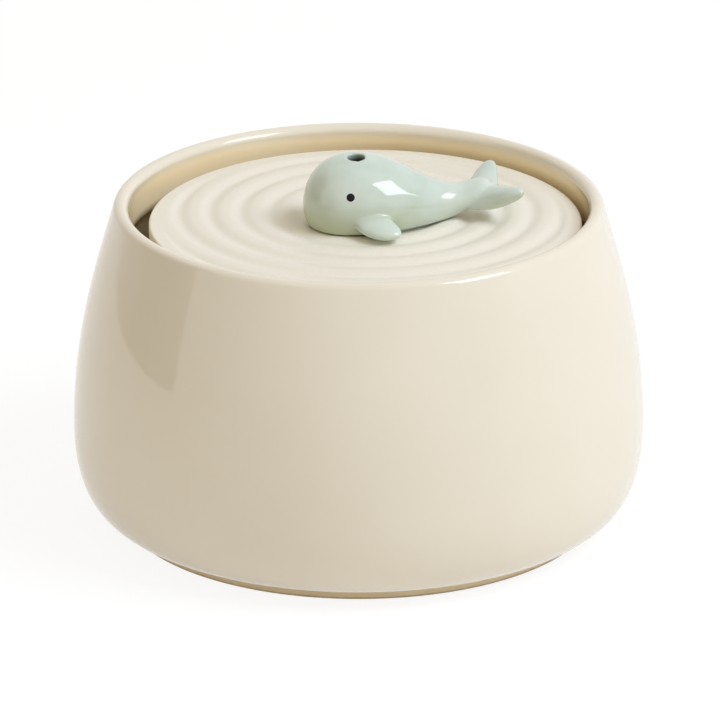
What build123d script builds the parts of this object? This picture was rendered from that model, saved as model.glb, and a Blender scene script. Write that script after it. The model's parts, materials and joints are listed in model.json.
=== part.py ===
from build123d import *
from math import cos, hypot, radians, sin
import os

# Pet water fountain: a glazed stoneware bowl, a rippled drinking plate and a whale spout.
#
# A round filter basket stands in the bowl. It holds a small pump, a foam sleeve and a ring
# cartridge, and its lid carries the plate. The pump lifts water through a soft riser tube
# and the whale's blow hole, and the water runs over the plate and back through the gap
# round its edge.
#
# Millimetres, +Z up. The origin is on the table under the middle of the bowl, the whale
# looks along -X, and the cable leaves through the back wall, at +Y.

# ---- clearances -----------------------------------------------------------------------
slip = 0.08  # radial, where one piece slides on another
loose = 0.3  # where two pieces pass each other freely

# ---- bowl -----------------------------------------------------------------------------
belly_radius = 105.0
belly_z = 35.0
bowl_height = 121.0
rim_radius = 86.8  # to the middle of the lip
wall = 5.6
rim_lean = 16.8  # degrees that the wall leans in under the lip
shoulder_pull = 33.0  # how far the belly's curve holds upright above its widest point
rim_pull = 27.0
foot_radius = 87.6
foot_height = 4.4
foot_width = 9.0
foot_pull = 12.8
heel_pull = 16.5
floor_z = 11.0
floor_radius = 80.0
inner_heel_pull = 13.0
glaze_round = 0.8

pad_radius = 3.4
pad_thickness = 1.2
pad_proud = 0.5
pad_count = 4

cable_drop = 16.0  # from the plate's underside down to the cable
cable_bore = 2.4
cable_hole = 5.5
grommet_flange = 9.0
grommet_lip = 1.6

# ---- plate ----------------------------------------------------------------------------
module_place = (2.4, 1.0)  # the filter module and the plate stand this far off the bowl's axis
plate_drop = 8.0  # the plate lies this far below the lip
rim_gap = 5.0  # water runs back between the plate and the lip
plate_thickness = 7.0
plate_edge_round = 2.6
plate_crown = 0.3  # the edge lies this far below the crests
ripple_margin = 13.0  # from the edge in to the outermost trough
ripple_pitch = 12.6
ripple_depth = 0.8
ripple_count = 4
boss_radius = 14.0
boss_depth = 6.0
locator_gap = 0.6
locator_depth = 3.0
locator_width = 4.0

# ---- whale ----------------------------------------------------------------------------
whale_yaw = 11.0
whale_place = (-2.4, -2.3)  # from the plate's axis to the middle of the head
blow_hole = (-3.6, -4.4)  # from the plate's axis
whale_clearance = 0.4  # the whale stands on its seal, this far above the plate
spigot_radius = 5.0
spigot_length = 27.0
spout_bend = 3.0  # the channel leans forward above this height
spout_bore = 3.2
# along the body from the blow hole: half width, top, height of the widest point
whale_sections = [
    (-3.0, 16.7, 26.1, 7.6),
    (4.0, 16.5, 25.6, 7.4),
    (10.5, 15.4, 23.7, 7.0),
    (17.5, 13.1, 20.2, 6.4),
    (24.0, 10.6, 16.4, 5.9),
    (30.0, 7.8, 13.6, 5.8),
    (35.0, 6.4, 12.4, 6.2),
    (39.5, 6.2, 12.6, 7.2),
    (44.0, 5.6, 13.4, 9.0),
    (47.0, 3.6, 13.4, 10.4),
]
nose_turns = (80, 64, 46, 26)  # degrees round the nose, one section each
head_length = 17.4
tail_end = (49.0, 0, 11.4)
tail_hinge = (39.5, 0, 0)
fluke_turn = 7.0  # degrees that the flukes turn further than the body, about the hinge
# out across the whale: distance, front edge (x, z), back edge (x, z), half thickness
fluke_sections = [
    (0.0, (36.5, 5.4), (52.8, 9.4), 3.2),
    (4.5, (38.6, 4.6), (53.8, 10.2), 3.5),
    (9.0, (42.8, 5.4), (55.0, 11.4), 3.5),
    (13.5, (47.2, 7.6), (56.2, 12.6), 3.0),
    (16.2, (50.4, 9.8), (56.6, 13.0), 2.3),
]
fluke_tip = (54.8, 18.4, 12.4)
fin_sections = [
    (8.0, (-7.0, 6.0), (7.0, 6.0), 3.8),
    (13.5, (-6.0, 5.4), (8.2, 5.4), 3.7),
    (18.0, (-4.2, 4.0), (10.2, 4.0), 3.3),
    (21.8, (-1.2, 2.8), (11.6, 2.8), 2.6),
]
fin_tip = (6.5, 25.0, 2.0)

# ---- seal and riser tube --------------------------------------------------------------
seal_wall = 2.4
seal_flange_width = 2.2
seal_flange_thickness = 1.6
seal_bead = 1.4
tube_wall = 1.9
tube_on_nozzle = 9.0
tube_on_spigot = 8.6
nozzle_to_spigot = 13.4

# ---- filter basket, cartridge, foam ---------------------------------------------------
basket_wall = 1.8
basket_floor = 2.0
basket_chamfer = 1.0
slot_width = 4.0
slot_count = 20
slot_row_count = 2
slot_row_gap = 5.0
slot_margin_low = 5.0
slot_margin_high = 16.0
lid_thickness = 2.2
lid_skirt = 5.0
lid_chamfer = 0.8
lid_hole_gap = 1.6
stand_inset = 4.0  # from the basket's outside in to the plate's stand
stand_height = 8.8
stand_width = 3.0
stand_gaps = 8
stand_gap_width = 14.0
cushion_thickness = 2.0
window_radius = 33.0  # middle of the lid's windows: two for fingers, one for the cable
window_width = 14.0
window_sweep = 50.0
pump_to_foam = 1.1
foam_thickness = 5.7
foam_height = 48.0
foam_to_cartridge = 0.5
cartridge_width = 10.8
cartridge_gap = 0.8  # to the basket's wall
cartridge_ring = 2.0
felt_thickness = 0.9
rib_width = 2.0
rib_count = 8

# ---- pump: housing, motor, gland ------------------------------------------------------
rotor_x = -5.0
rotor_height = 17.5  # of the shaft over the housing's underside
motor_half_width = 18.5
motor_front = 6.0
motor_back = 29.0
motor_height = 46.0
motor_corner = 4.0
shell = 1.8
well_radius = 7.4
well_wall = 1.0
well_end = 24.4
core_front = 10.4
core_back = 22.4
core_margin = 1.6  # over the yoke, to the housing
leg_inner = 8.8
leg_outer = 13.4
yoke_height = 5.2
pole_height = 14.0
pole_slot = 8.0
pole_below = 9.5
coil_over_shaft = 10.0
coil_below_top = 8.0
bobbin_fit = 0.1
bobbin_wall = 0.6
bobbin_flange = 0.8
bobbin_reach = 1.7
coil_margin = 0.05
board_half_width = 13.0
board_span = (5.0, 33.0)  # heights over the housing's underside
board_thickness = 1.0
board_gap = 0.6
chip_size = 6.0
capacitor_radius = 1.8
capacitor_height = 1.4
capacitor_place = (6.5, 22.0)
potting_drop = 0.6
gland_drop = 5.4
gland_radius = 4.0
gland_flange = 5.0
gland_bore = 2.0
gland_proud = 3.4
gland_depth = 2.6

# ---- pump: rotor, cover, guard, dial, cups --------------------------------------------
shaft_radius = 1.15
bush_radius = 2.5
bush_length = 2.2
rear_bush_length = 1.4
magnet_radius = 6.6
magnet_front = 7.4
magnet_back = 22.6
rotor_sleeve = 2.6
impeller_radius = 11.0
impeller_disc = 1.4
impeller_gap = 1.0  # from the disc to the housing
impeller_blades = 6
blade_root = 2.0
blade_thickness = 1.1
blade_depth = 6.6
chamber_radius = 12.8
chamber_depth = 11.6
cover_wall = 1.8
eye_radius = 7.0
hub_radius = 3.6
hub_depth = 3.4
arm_angles = (30, 150, 270)
arm_width = 1.6
arm_depth = 1.6
nozzle_inset = 0.3  # the nozzle is this much slimmer than the whale's spigot
nozzle_bore = 3.4
barb_height = 0.35
barb_length = 2.0
barb_pitch = 2.4
barb_count = 3
ring_section = 0.75
ring_squeeze = 0.66
groove_fit = 0.05
hook_angles = (0, 180)
hook_width = 6.0
hook_thickness = 1.8
hook_height = 4.4
hook_nose = 1.4
lug_width = 5.2
lug_height = 2.8
guard_wall = 1.4
guard_grip = 5.0
guard_reach = 10.0
window_count = 4
window_angle = 42.0
window_inner = 5.0
window_outer = 12.6
dial_rim = 1.4
dial_thickness = 1.5
dial_gap = 0.2
pivot_radius = 2.0
pivot_head = 0.5
grip_height = 3.0
grip_width = 2.2
grip_radius = 9.0
cup_height = 4.0
cup_radius = 5.4
cup_lip = 1.4
cup_hollow = 1.6
cup_bell = 2.8
cup_neck = 2.0
cup_collar = 1.0
cup_inset = 6.5
cup_front = 5.0
cup_back = 6.0
cup_socket = 1.4
cup_fit = 0.1

# ---- places that follow from the sizes above ------------------------------------------
lip = wall / 2
plate_radius = rim_radius - lip - rim_gap
plate_top = bowl_height - plate_drop
plate_under = plate_top - plate_thickness
outer_trough = plate_radius - ripple_margin
cable_z = plate_under - cable_drop
seal_top = plate_top + whale_clearance
plate_hole = spigot_radius + seal_wall
seal_flange = plate_hole + seal_flange_width

foam_inner = hypot(abs(rotor_x) + motor_half_width, motor_back) + pump_to_foam
foam_outer = foam_inner + foam_thickness
cartridge_inner = foam_outer + foam_to_cartridge
cartridge_outer = cartridge_inner + cartridge_width
basket_radius = cartridge_outer + cartridge_gap + basket_wall
seat_top = plate_under - cushion_thickness
lid_top = seat_top - stand_height
basket_top = lid_top - lid_thickness
stand_radius = basket_radius - stand_inset
cartridge_low = floor_z + basket_floor
cartridge_high = basket_top - loose

pump_z = floor_z + basket_floor + cup_height
rotor_z = pump_z + rotor_height
tube_inner = spigot_radius + slip
nozzle_radius = spigot_radius - nozzle_inset
nozzle_top = seal_top - spigot_length - nozzle_to_spigot
lid_hole = tube_inner + tube_wall + lid_hole_gap
coil_low = rotor_z + coil_over_shaft
coil_high = pump_z + motor_height - shell - coil_below_top
gland_z = pump_z + motor_height - shell - gland_drop
cover_radius = chamber_radius + cover_wall
cover_front = motor_front - chamber_depth - cover_wall
hub_back = cover_front + hub_depth
ring_radius = chamber_radius + cover_wall / 2
hook_reach = cover_radius + loose
guard_back = cover_front + guard_grip
guard_front = cover_front - guard_reach


def save(shape, name):
    export_step(shape, f"parts/{name}.step")


def rod(radius, low, high, x=0.0, y=0.0):
    """An upright cylinder between two heights."""
    body = Cylinder(radius, high - low, align=(Align.CENTER, Align.CENTER, Align.MIN))
    return Pos(x, y, low) * body


def ring(outer, inner, low, high):
    """A plain upright ring between two heights."""
    return rod(outer, low, high) - rod(inner, low, high)


def along_y(radius, front, back, x=rotor_x, z=rotor_z):
    """A cylinder along the pump's shaft, from its front to its back."""
    body = Cylinder(radius, back - front, align=(Align.CENTER, Align.CENTER, Align.MIN))
    return Pos(x, front, z) * Rot(-90, 0, 0) * body


def block(x, y, z):
    """A box from three (low, high) pairs."""
    corner = (Align.MIN, Align.MIN, Align.MIN)
    return Pos(x[0], y[0], z[0]) * Box(x[1] - x[0], y[1] - y[0], z[1] - z[0], align=corner)


def turned(*edges):
    """A solid of revolution about Z from edges drawn in the XZ plane."""
    return revolve(make_face(Wire(list(edges))), Axis.Z)


def outline(*points):
    """A closed outline in the XZ plane from (radius, height) pairs."""
    closed = [(r, 0, z) for r, z in points + points[:1]]
    return [Line(a, b) for a, b in zip(closed, closed[1:])]


def sector(inner, outer, start, sweep):
    """A flat sector of a ring, for cutting windows and slots."""
    def at(radius, angle):
        return (radius * cos(radians(angle)), radius * sin(radians(angle)))

    middle, end = start + sweep / 2, start + sweep
    return make_face(Wire([
        ThreePointArc(at(outer, start), at(outer, middle), at(outer, end)),
        Line(at(outer, end), at(inner, end)),
        ThreePointArc(at(inner, end), at(inner, middle), at(inner, start)),
        Line(at(inner, start), at(outer, start)),
    ]))


def on_shaft(shape, front):
    """Turns a shape built up from z = 0 so that it stands forward from y = front."""
    return Pos(rotor_x, front, rotor_z) * Rot(90, 0, 0) * shape


# ---- bowl -----------------------------------------------------------------------------
def lip_point(angle):
    """A point on the lip's round, as (x, y, z) in the XZ plane."""
    turn = radians(angle)
    return (rim_radius + lip * cos(turn), 0, bowl_height - lip + lip * sin(turn))


def bowl_side(inset, heel, pull_low):
    """The side's two curves from the heel up to the lip, moved in by inset."""
    lean = radians(rim_lean)
    reach = lip - inset
    start = (belly_radius - inset, 0, belly_z)
    end = (rim_radius + reach * cos(lean), 0, bowl_height - lip + reach * sin(lean))
    lower = Bezier(
        heel,
        (heel[0] + pull_low, 0, heel[2]),
        (start[0], 0, belly_z - heel_pull + inset / 2),
        start,
    )
    upper = Bezier(
        start,
        (start[0], 0, belly_z + shoulder_pull),
        (end[0] + rim_pull * sin(lean), 0, end[2] - rim_pull * cos(lean)),
        end,
    )
    return lower, upper, end


def bowl_shape(grow=0.0):
    """The outside of the bowl as a filled solid, grown by grow."""
    heel = (foot_radius + grow, 0, foot_height - grow)
    lower, upper, end = bowl_side(-grow, heel, foot_pull)
    return turned(
        Line((0, 0, heel[2]), heel),
        lower,
        upper,
        Line(end, (0, 0, end[2])),
        Line((0, 0, end[2]), (0, 0, heel[2])),
    )


def bowl_hollow(shrink=0.0):
    """The inside of the bowl as a filled solid, made smaller by shrink."""
    heel = (floor_radius - shrink, 0, floor_z + shrink)
    lower, upper, end = bowl_side(wall + shrink, heel, inner_heel_pull)
    over = bowl_height + wall
    return turned(
        Line((0, 0, heel[2]), heel),
        lower,
        upper,
        Line(end, (end[0], 0, over)),
        Line((end[0], 0, over), (0, 0, over)),
        Line((0, 0, over), (0, 0, heel[2])),
    )


def through_wall(radius):
    """A cylinder through the back wall where the cable leaves."""
    length = belly_radius - rim_radius + 4 * wall
    return Pos(0, rim_radius + wall, cable_z) * Rot(90, 0, 0) * Cylinder(radius, length)


def pad_places():
    """Middle of each pad, on the centre line of the foot ring."""
    radius = foot_radius - foot_width / 2
    turns = [radians(45 + 360 / pad_count * i) for i in range(pad_count)]
    return [(radius * cos(turn), radius * sin(turn)) for turn in turns]


def make_bowl():
    heel = (foot_radius, 0, foot_height)
    inner_heel = (floor_radius, 0, floor_z)
    lower, upper, outer_end = bowl_side(0, heel, foot_pull)
    inner_lower, inner_upper, inner_end = bowl_side(wall, inner_heel, inner_heel_pull)
    crest = lip_point(rim_lean + 90)
    ring_inner = foot_radius - foot_width
    foot_in = (ring_inner + glaze_round, 0, pad_proud)
    foot_out = (foot_radius - glaze_round, 0, pad_proud)
    body = turned(
        Line((0, 0, foot_height), (ring_inner, 0, foot_height)),
        Line((ring_inner, 0, foot_height), foot_in),
        Line(foot_in, foot_out),
        Line(foot_out, (foot_radius, 0, pad_proud + glaze_round)),
        Line((foot_radius, 0, pad_proud + glaze_round), heel),
        lower,
        upper,
        ThreePointArc(outer_end, lip_point(rim_lean + 45), crest),
        ThreePointArc(crest, lip_point(rim_lean + 135), inner_end),
        inner_upper,
        inner_lower,
        Line(inner_heel, (0, 0, floor_z)),
        Line((0, 0, floor_z), (0, 0, foot_height)),
    )
    body -= through_wall(cable_hole)
    for place in pad_places():
        body -= rod(pad_radius, 0, pad_thickness, *place)
    return body


def make_pads():
    return Compound([rod(pad_radius, 0, pad_thickness, *place) for place in pad_places()])


def make_grommet():
    """A silicone bush in the back wall. Its flanges follow the wall's two faces."""
    thick = bowl_shape(grommet_lip) - bowl_hollow(grommet_lip)
    side = bowl_shape() - bowl_hollow()
    flanges = (thick - side) & through_wall(grommet_flange)
    sleeve = thick & through_wall(cable_hole)
    return flanges + sleeve - through_wall(cable_bore)


# ---- plate ----------------------------------------------------------------------------
def ripple_edges(start_radius):
    """S-curves from the outermost crest in to the flat middle."""
    edges = []
    here = (start_radius, 0, plate_top)
    for i in range(2 * ripple_count):
        trough = i % 2 == 0
        there = (
            outer_trough - i * ripple_pitch / 2,
            0,
            plate_top - ripple_depth if trough else plate_top,
        )
        pull = (here[0] - there[0]) * 0.4
        edges.append(Bezier(
            here,
            (here[0] - pull, 0, here[2]),
            (there[0] + pull, 0, there[2]),
            there,
        ))
        here = there
    return edges, here


def make_plate():
    crest = outer_trough + ripple_pitch / 2
    ripples, inner_crest = ripple_edges(crest)
    shoulder = (plate_radius - plate_edge_round, 0, plate_top - plate_crown)
    side_z = shoulder[2] - plate_edge_round
    bulge = plate_edge_round * cos(radians(45))
    edge_middle = (shoulder[0] + bulge, 0, side_z + bulge)
    crown_pull = (shoulder[0] - crest) / 2
    locator_in = stand_radius + locator_gap
    locator_out = locator_in + locator_width
    under = outline(
        (0, plate_under),
        (locator_in, plate_under),
        (locator_in, plate_under - locator_depth),
        (locator_out, plate_under - locator_depth),
        (locator_out, plate_under),
        (plate_radius - 2 * plate_edge_round, plate_under),
        (plate_radius, plate_under + plate_edge_round),
        (plate_radius, side_z),
    )[:-1]
    plate = turned(
        *under,
        ThreePointArc((plate_radius, 0, side_z), edge_middle, shoulder),
        Bezier(
            shoulder,
            (shoulder[0] - crown_pull, 0, plate_top),
            (crest + crown_pull, 0, plate_top),
            (crest, 0, plate_top),
        ),
        *ripples,
        Line(inner_crest, (0, 0, plate_top)),
        Line((0, 0, plate_top), (0, 0, plate_under)),
    )
    plate += rod(boss_radius, plate_under - boss_depth, plate_under)
    plate -= rod(plate_hole, plate_under - boss_depth, plate_top)
    return plate - rod(seal_flange + slip, seal_top - seal_flange_thickness, seal_top)


def make_seal():
    """A silicone bush in the plate's hole, with a flange above and a bead below."""
    low = plate_under - boss_depth
    seal = rod(seal_flange, seal_top - seal_flange_thickness, seal_top)
    seal += rod(plate_hole, low, seal_top)
    below = (Align.CENTER, Align.CENTER, Align.MAX)
    seal += Pos(0, 0, low) * Cone(
        plate_hole - seal_bead / 2, plate_hole + seal_bead, 2 * seal_bead, align=below
    )
    return seal - rod(tube_inner, low - 2 * seal_bead, seal_top)


# ---- whale ----------------------------------------------------------------------------
def blade(sections, tip):
    """A fluke or fin on the whale's left side, from inside the body out to its tip."""
    rings = []
    for y, front, back, half_thickness in sections:
        start = Vector(front[0], y, front[1])
        chord = Vector(back[0], y, back[1]) - start
        at = Plane(origin=start + chord / 2, x_dir=chord, z_dir=(0, 1, 0))
        rings.append(at * Ellipse(chord.length / 2, half_thickness))
    return loft(rings + [Vertex(*tip)])


def whale_ring(x, half_width, top, widest):
    """One elliptical section across the whale, with its middle at the height widest."""
    at = Plane(origin=(x, 0, widest), x_dir=(0, 1, 0), z_dir=(1, 0, 0))
    return at * Ellipse(half_width, top - widest)


def whale_flesh():
    """The whale's outer form before its flat base is cut, nose towards -X."""
    x, half_width, top, widest = whale_sections[0]
    rings = [Vertex(x - head_length, 0, widest)]
    for turn in nose_turns:
        share = cos(radians(turn))
        at = x - head_length * sin(radians(turn))
        rings.append(whale_ring(at, half_width * share, widest + (top - widest) * share, widest))
    rings += [whale_ring(*section) for section in whale_sections]
    rings.append(Vertex(*tail_end))
    body = loft(rings)
    curl = Pos(tail_hinge) * Rot(0, 0, fluke_turn) * Pos(-Vector(tail_hinge))
    fluke = blade(fluke_sections, fluke_tip)
    fin = blade(fin_sections, fin_tip)
    body += curl * fluke
    body += curl * mirror(fluke, Plane.XZ)
    body += fin
    body += mirror(fin, Plane.XZ)
    return body


def make_whale():
    over = 100.0  # clear of the whale on every side
    body = whale_flesh() & block((-over, over), (-over, over), (0, over))
    whale = Pos(*whale_place, seal_top) * Rot(0, 0, whale_yaw) * body
    whale += rod(spigot_radius, seal_top - spigot_length, seal_top)
    bend = Vector(0, 0, seal_top + spout_bend)
    mouth = Vector(*blow_hole, seal_top + whale_sections[0][2])
    upward = (Align.CENTER, Align.CENTER, Align.MIN)
    whale -= rod(spout_bore, seal_top - spigot_length, bend.Z)
    whale -= Pos(bend) * Sphere(spout_bore)
    return whale - Plane(origin=bend, z_dir=mouth - bend) * Cylinder(spout_bore, over, align=upward)


# ---- riser tube, basket, lid, cartridge, foam -----------------------------------------
def make_tube():
    spigot_low = seal_top - spigot_length
    low, high = nozzle_top - tube_on_nozzle, spigot_low + tube_on_spigot
    return ring(tube_inner + tube_wall, tube_inner, low, high)


def make_basket():
    inner = basket_radius - basket_wall
    basket = turned(*outline(
        (0, floor_z),
        (basket_radius - basket_chamfer, floor_z),
        (basket_radius, floor_z + basket_chamfer),
        (basket_radius, basket_top),
        (inner, basket_top),
        (inner, floor_z + basket_floor),
        (0, floor_z + basket_floor),
    ))
    first = floor_z + basket_floor + slot_margin_low
    pitch = (basket_top - slot_margin_high + slot_row_gap - first) / slot_row_count
    half = slot_width / 2
    for row in range(slot_row_count):
        low = first + row * pitch
        across = (inner - basket_wall, basket_radius + basket_wall)
        cut = block(across, (-half, half), (low, low + pitch - slot_row_gap))
        for i in range(slot_count):
            basket -= Rot(0, 0, 360 / slot_count * (i + 0.5)) * cut
    return basket


def make_lid():
    """A cap on the basket, with windows for two fingers and the cable."""
    skirt_inner = basket_radius + loose
    skirt_outer = skirt_inner + basket_wall
    lid = turned(*outline(
        (lid_hole, basket_top),
        (skirt_inner, basket_top),
        (skirt_inner, basket_top - lid_skirt),
        (skirt_outer, basket_top - lid_skirt),
        (skirt_outer, lid_top - lid_chamfer),
        (skirt_outer - lid_chamfer, lid_top),
        (lid_hole, lid_top),
    ))
    half = window_width / 2
    for middle in (0, 90, 180):
        start = middle - window_sweep / 2
        window = sector(window_radius - half, window_radius + half, start, window_sweep)
        lid -= Pos(0, 0, basket_top) * extrude(window, lid_thickness)
    return lid


def make_stand():
    """The ring that carries the plate's cushion, with gaps for water and the cable."""
    stand = ring(stand_radius, stand_radius - stand_width, lid_top, seat_top)
    half = stand_gap_width / 2
    across = (stand_radius - 2 * stand_width, stand_radius + stand_width)
    gap = block(across, (-half, half), (lid_top, seat_top - stand_width))
    for i in range(stand_gaps):
        stand -= Rot(0, 0, 360 / stand_gaps * i) * gap
    return stand


def make_cushion():
    return ring(stand_radius, stand_radius - stand_width, seat_top, plate_under)


def rib_blocks(inner, outer):
    low, high = cartridge_low + cartridge_ring, cartridge_high - cartridge_ring
    rib = block((inner, outer), (-rib_width / 2, rib_width / 2), (low, high))
    return [Rot(0, 0, 360 / rib_count * (i + 0.5)) * rib for i in range(rib_count)]


def make_cartridge_ends():
    """The end rings of the cartridge."""
    low = ring(cartridge_outer, cartridge_inner, cartridge_low, cartridge_low + cartridge_ring)
    high = ring(cartridge_outer, cartridge_inner, cartridge_high - cartridge_ring, cartridge_high)
    return low, high


def make_ribs():
    """Upright ribs between the end rings."""
    inset = felt_thickness + slip
    return Compound(rib_blocks(cartridge_inner + inset, cartridge_outer - inset))


def make_felt():
    """Felt on the inside and the outside of the carbon."""
    low, high = cartridge_low + cartridge_ring, cartridge_high - cartridge_ring
    outer = ring(cartridge_outer, cartridge_outer - felt_thickness, low, high)
    inner = ring(cartridge_inner + felt_thickness, cartridge_inner, low, high)
    return Compound([outer, inner])


def make_carbon():
    """Beds of carbon granules between the ribs."""
    low, high = cartridge_low + cartridge_ring, cartridge_high - cartridge_ring
    bed = ring(cartridge_outer - felt_thickness, cartridge_inner + felt_thickness, low, high)
    for rib in rib_blocks(cartridge_inner, cartridge_outer):
        bed -= rib
    return bed


def make_foam():
    return ring(foam_outer, foam_inner, cartridge_low, cartridge_low + foam_height)


# ---- pump -----------------------------------------------------------------------------
def motor_block(inset, front, back):
    """The motor's outline, moved in by inset, from front to back along Y."""
    width = 2 * (motor_half_width - inset)
    height = motor_height - 2 * inset
    profile = RectangleRounded(width, height, motor_corner - inset)
    middle = pump_z + motor_height / 2
    place = Plane(origin=(rotor_x, front, middle), x_dir=(1, 0, 0), z_dir=(0, 1, 0))
    return extrude(place * profile, back - front)


def cup_places():
    """Where the four suction cups plug into the housing's underside."""
    reach = motor_half_width - cup_inset
    rows = (motor_front + cup_front, motor_back - cup_back)
    return [(rotor_x + side * reach, y) for side in (-1, 1) for y in rows]


def hooks():
    """Bayonet hooks on the housing's face, which hold the cover's lugs."""
    outer = hook_reach + hook_nose + loose + hook_thickness
    across = (-hook_width / 2, hook_width / 2)
    post = block((outer - hook_thickness, outer), across, (0, hook_height))
    nose = block((hook_reach, outer), across, (lug_height + loose, hook_height))
    return [on_shaft(Rot(0, 0, angle) * (post + nose), motor_front) for angle in hook_angles]


def make_housing():
    """A cup, open at the back for the potting, with the rotor's blind well inside."""
    cup = motor_block(0, motor_front, motor_back)
    cup -= motor_block(shell, motor_front + shell, motor_back)
    cup += along_y(well_radius + well_wall, motor_front, well_end + well_wall)
    cup -= along_y(well_radius, motor_front, well_end)
    for x, y in cup_places():
        cup -= rod(cup_neck, pump_z, pump_z + cup_socket, x, y)
    for hook in hooks():
        cup += hook
    return cup


def core_outline():
    """The U-shaped lamination: two legs, a yoke, and pole tips round the rotor's well."""
    low, high = rotor_z - pole_below, pump_z + motor_height - shell - core_margin
    middle = (leg_inner + leg_outer) / 2
    width = 2 * leg_outer
    shape = Pos(0, high - yoke_height / 2) * Rectangle(width, yoke_height)
    for side in (-1, 1):
        leg = Rectangle(leg_outer - leg_inner, high - low)
        shape += Pos(side * middle, (low + high) / 2) * leg
    poles = Rectangle(width, pole_height) - Rectangle(pole_slot, pole_height)
    shape += Pos(0, rotor_z) * poles
    return shape - Pos(0, rotor_z) * Circle(well_radius + well_wall + loose)


def make_core():
    place = Plane(origin=(rotor_x, core_front, 0), x_dir=(1, 0, 0), z_dir=(0, -1, 0))
    return extrude(place * core_outline(), -(core_back - core_front))


def leg_sleeves(inset_in, inset_out, low, high):
    """A rectangular sleeve round each leg, between two offsets from the steel."""
    made = []
    for side in (-1, 1):
        x_low, x_high = sorted((rotor_x + side * leg_inner, rotor_x + side * leg_outer))
        outer, inner = [
            block(
                (x_low - inset, x_high + inset),
                (core_front - inset, core_back + inset),
                (low, high),
            )
            for inset in (inset_out, inset_in)
        ]
        made.append(outer - inner)
    return made


def make_bobbins():
    wound = bobbin_fit + bobbin_wall
    tubes = leg_sleeves(bobbin_fit, wound, coil_low, coil_high)
    lows = leg_sleeves(bobbin_fit, bobbin_reach, coil_low, coil_low + bobbin_flange)
    highs = leg_sleeves(bobbin_fit, bobbin_reach, coil_high - bobbin_flange, coil_high)
    return Compound([tube + low + high for tube, low, high in zip(tubes, lows, highs)])


def make_windings():
    inner = bobbin_fit + bobbin_wall + coil_margin
    inset = bobbin_flange + coil_margin
    low, high = coil_low + inset, coil_high - inset
    return Compound(leg_sleeves(inner, bobbin_reach - coil_margin, low, high))


def make_board():
    """The driver board behind the well, with its chip and two capacitors."""
    low, high = pump_z + board_span[0], pump_z + board_span[1]
    front = well_end + well_wall + board_gap
    back = front + board_thickness
    across = (rotor_x - board_half_width, rotor_x + board_half_width)
    board = block(across, (front, back), (low, high))
    half = chip_size / 2
    chip_z = low + chip_size * 1.5
    board += block(
        (rotor_x - half, rotor_x + half),
        (back, back + board_thickness),
        (chip_z - half, chip_z + half),
    )
    side_step, lift = capacitor_place
    for side in (-1, 1):
        x = rotor_x + side * side_step
        board += along_y(capacitor_radius, back, back + capacitor_height, x, low + lift)
    return board


def gland_body():
    body = along_y(gland_radius, motor_back - gland_depth, motor_back + gland_proud, z=gland_z)
    flange_back = motor_back - gland_depth + 1.0
    return body + along_y(gland_flange, motor_back - gland_depth, flange_back, z=gland_z)


def make_gland():
    bore = along_y(gland_bore, motor_back - potting_drop, motor_back + gland_proud, z=gland_z)
    return gland_body() - bore


def make_potting():
    """Epoxy that fills the cup round the coils and the board."""
    fill = motor_block(shell, motor_front + shell, motor_back - potting_drop)
    fill -= along_y(well_radius + well_wall, motor_front, well_end + well_wall)
    fill -= make_core()
    fill -= make_board()
    for sleeve in leg_sleeves(0, bobbin_reach, coil_low, coil_high):
        fill -= sleeve
    return fill - gland_body()


def spider():
    """Three arms and a cup in the eye, which hold the front end of the shaft."""
    hub = along_y(hub_radius, cover_front, hub_back)
    half = arm_width / 2
    arm = block((0, eye_radius + cover_wall / 2), (-half, half), (0, arm_depth))
    for angle in arm_angles:
        hub += on_shaft(Rot(0, 0, angle) * arm, cover_front + arm_depth)
    return hub - along_y(bush_radius, hub_back - bush_length, hub_back)


def make_cover():
    """The volute: a round chamber with the intake eye in front and the nozzle on top."""
    body = along_y(cover_radius, cover_front, motor_front)
    body += rod(nozzle_radius, rotor_z, nozzle_top)
    upward = (Align.CENTER, Align.CENTER, Align.MIN)
    for step in range(barb_count):
        barb = Cone(nozzle_radius + barb_height, nozzle_radius, barb_length, align=upward)
        body += Pos(0, 0, nozzle_top - barb_pitch * (step + 1)) * barb
    lug = block(
        (chamber_radius, hook_reach + hook_nose), (-lug_width / 2, lug_width / 2), (0, lug_height)
    )
    for angle in hook_angles:
        body += on_shaft(Rot(0, 0, angle) * lug, motor_front)
    body -= along_y(chamber_radius, cover_front + cover_wall, motor_front)
    body -= rod(nozzle_bore, rotor_z, nozzle_top)
    body -= along_y(eye_radius, cover_front, cover_front + cover_wall)
    half = ring_section + groove_fit
    groove = along_y(ring_radius + half, motor_front - 2 * ring_section, motor_front)
    groove -= along_y(ring_radius - half, motor_front - 2 * ring_section, motor_front)
    return body - groove + spider()


def make_o_ring():
    torus = Torus(ring_radius, ring_section * ring_squeeze)
    return on_shaft(torus, motor_front - ring_section)


def make_shaft():
    return along_y(shaft_radius, hub_back - bush_length + slip, well_end - slip)


def make_bushes():
    """Rubber bushes that hold the ceramic shaft in the spider and in the well's end."""
    hole = along_y(shaft_radius, cover_front, well_end)
    front = along_y(bush_radius, hub_back - bush_length, hub_back)
    rear = along_y(well_radius - slip, well_end - rear_bush_length, well_end)
    return front - hole, rear - hole


def make_magnet():
    magnet = along_y(magnet_radius, magnet_front, magnet_back)
    return magnet - along_y(rotor_sleeve, magnet_front, magnet_back)


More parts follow.
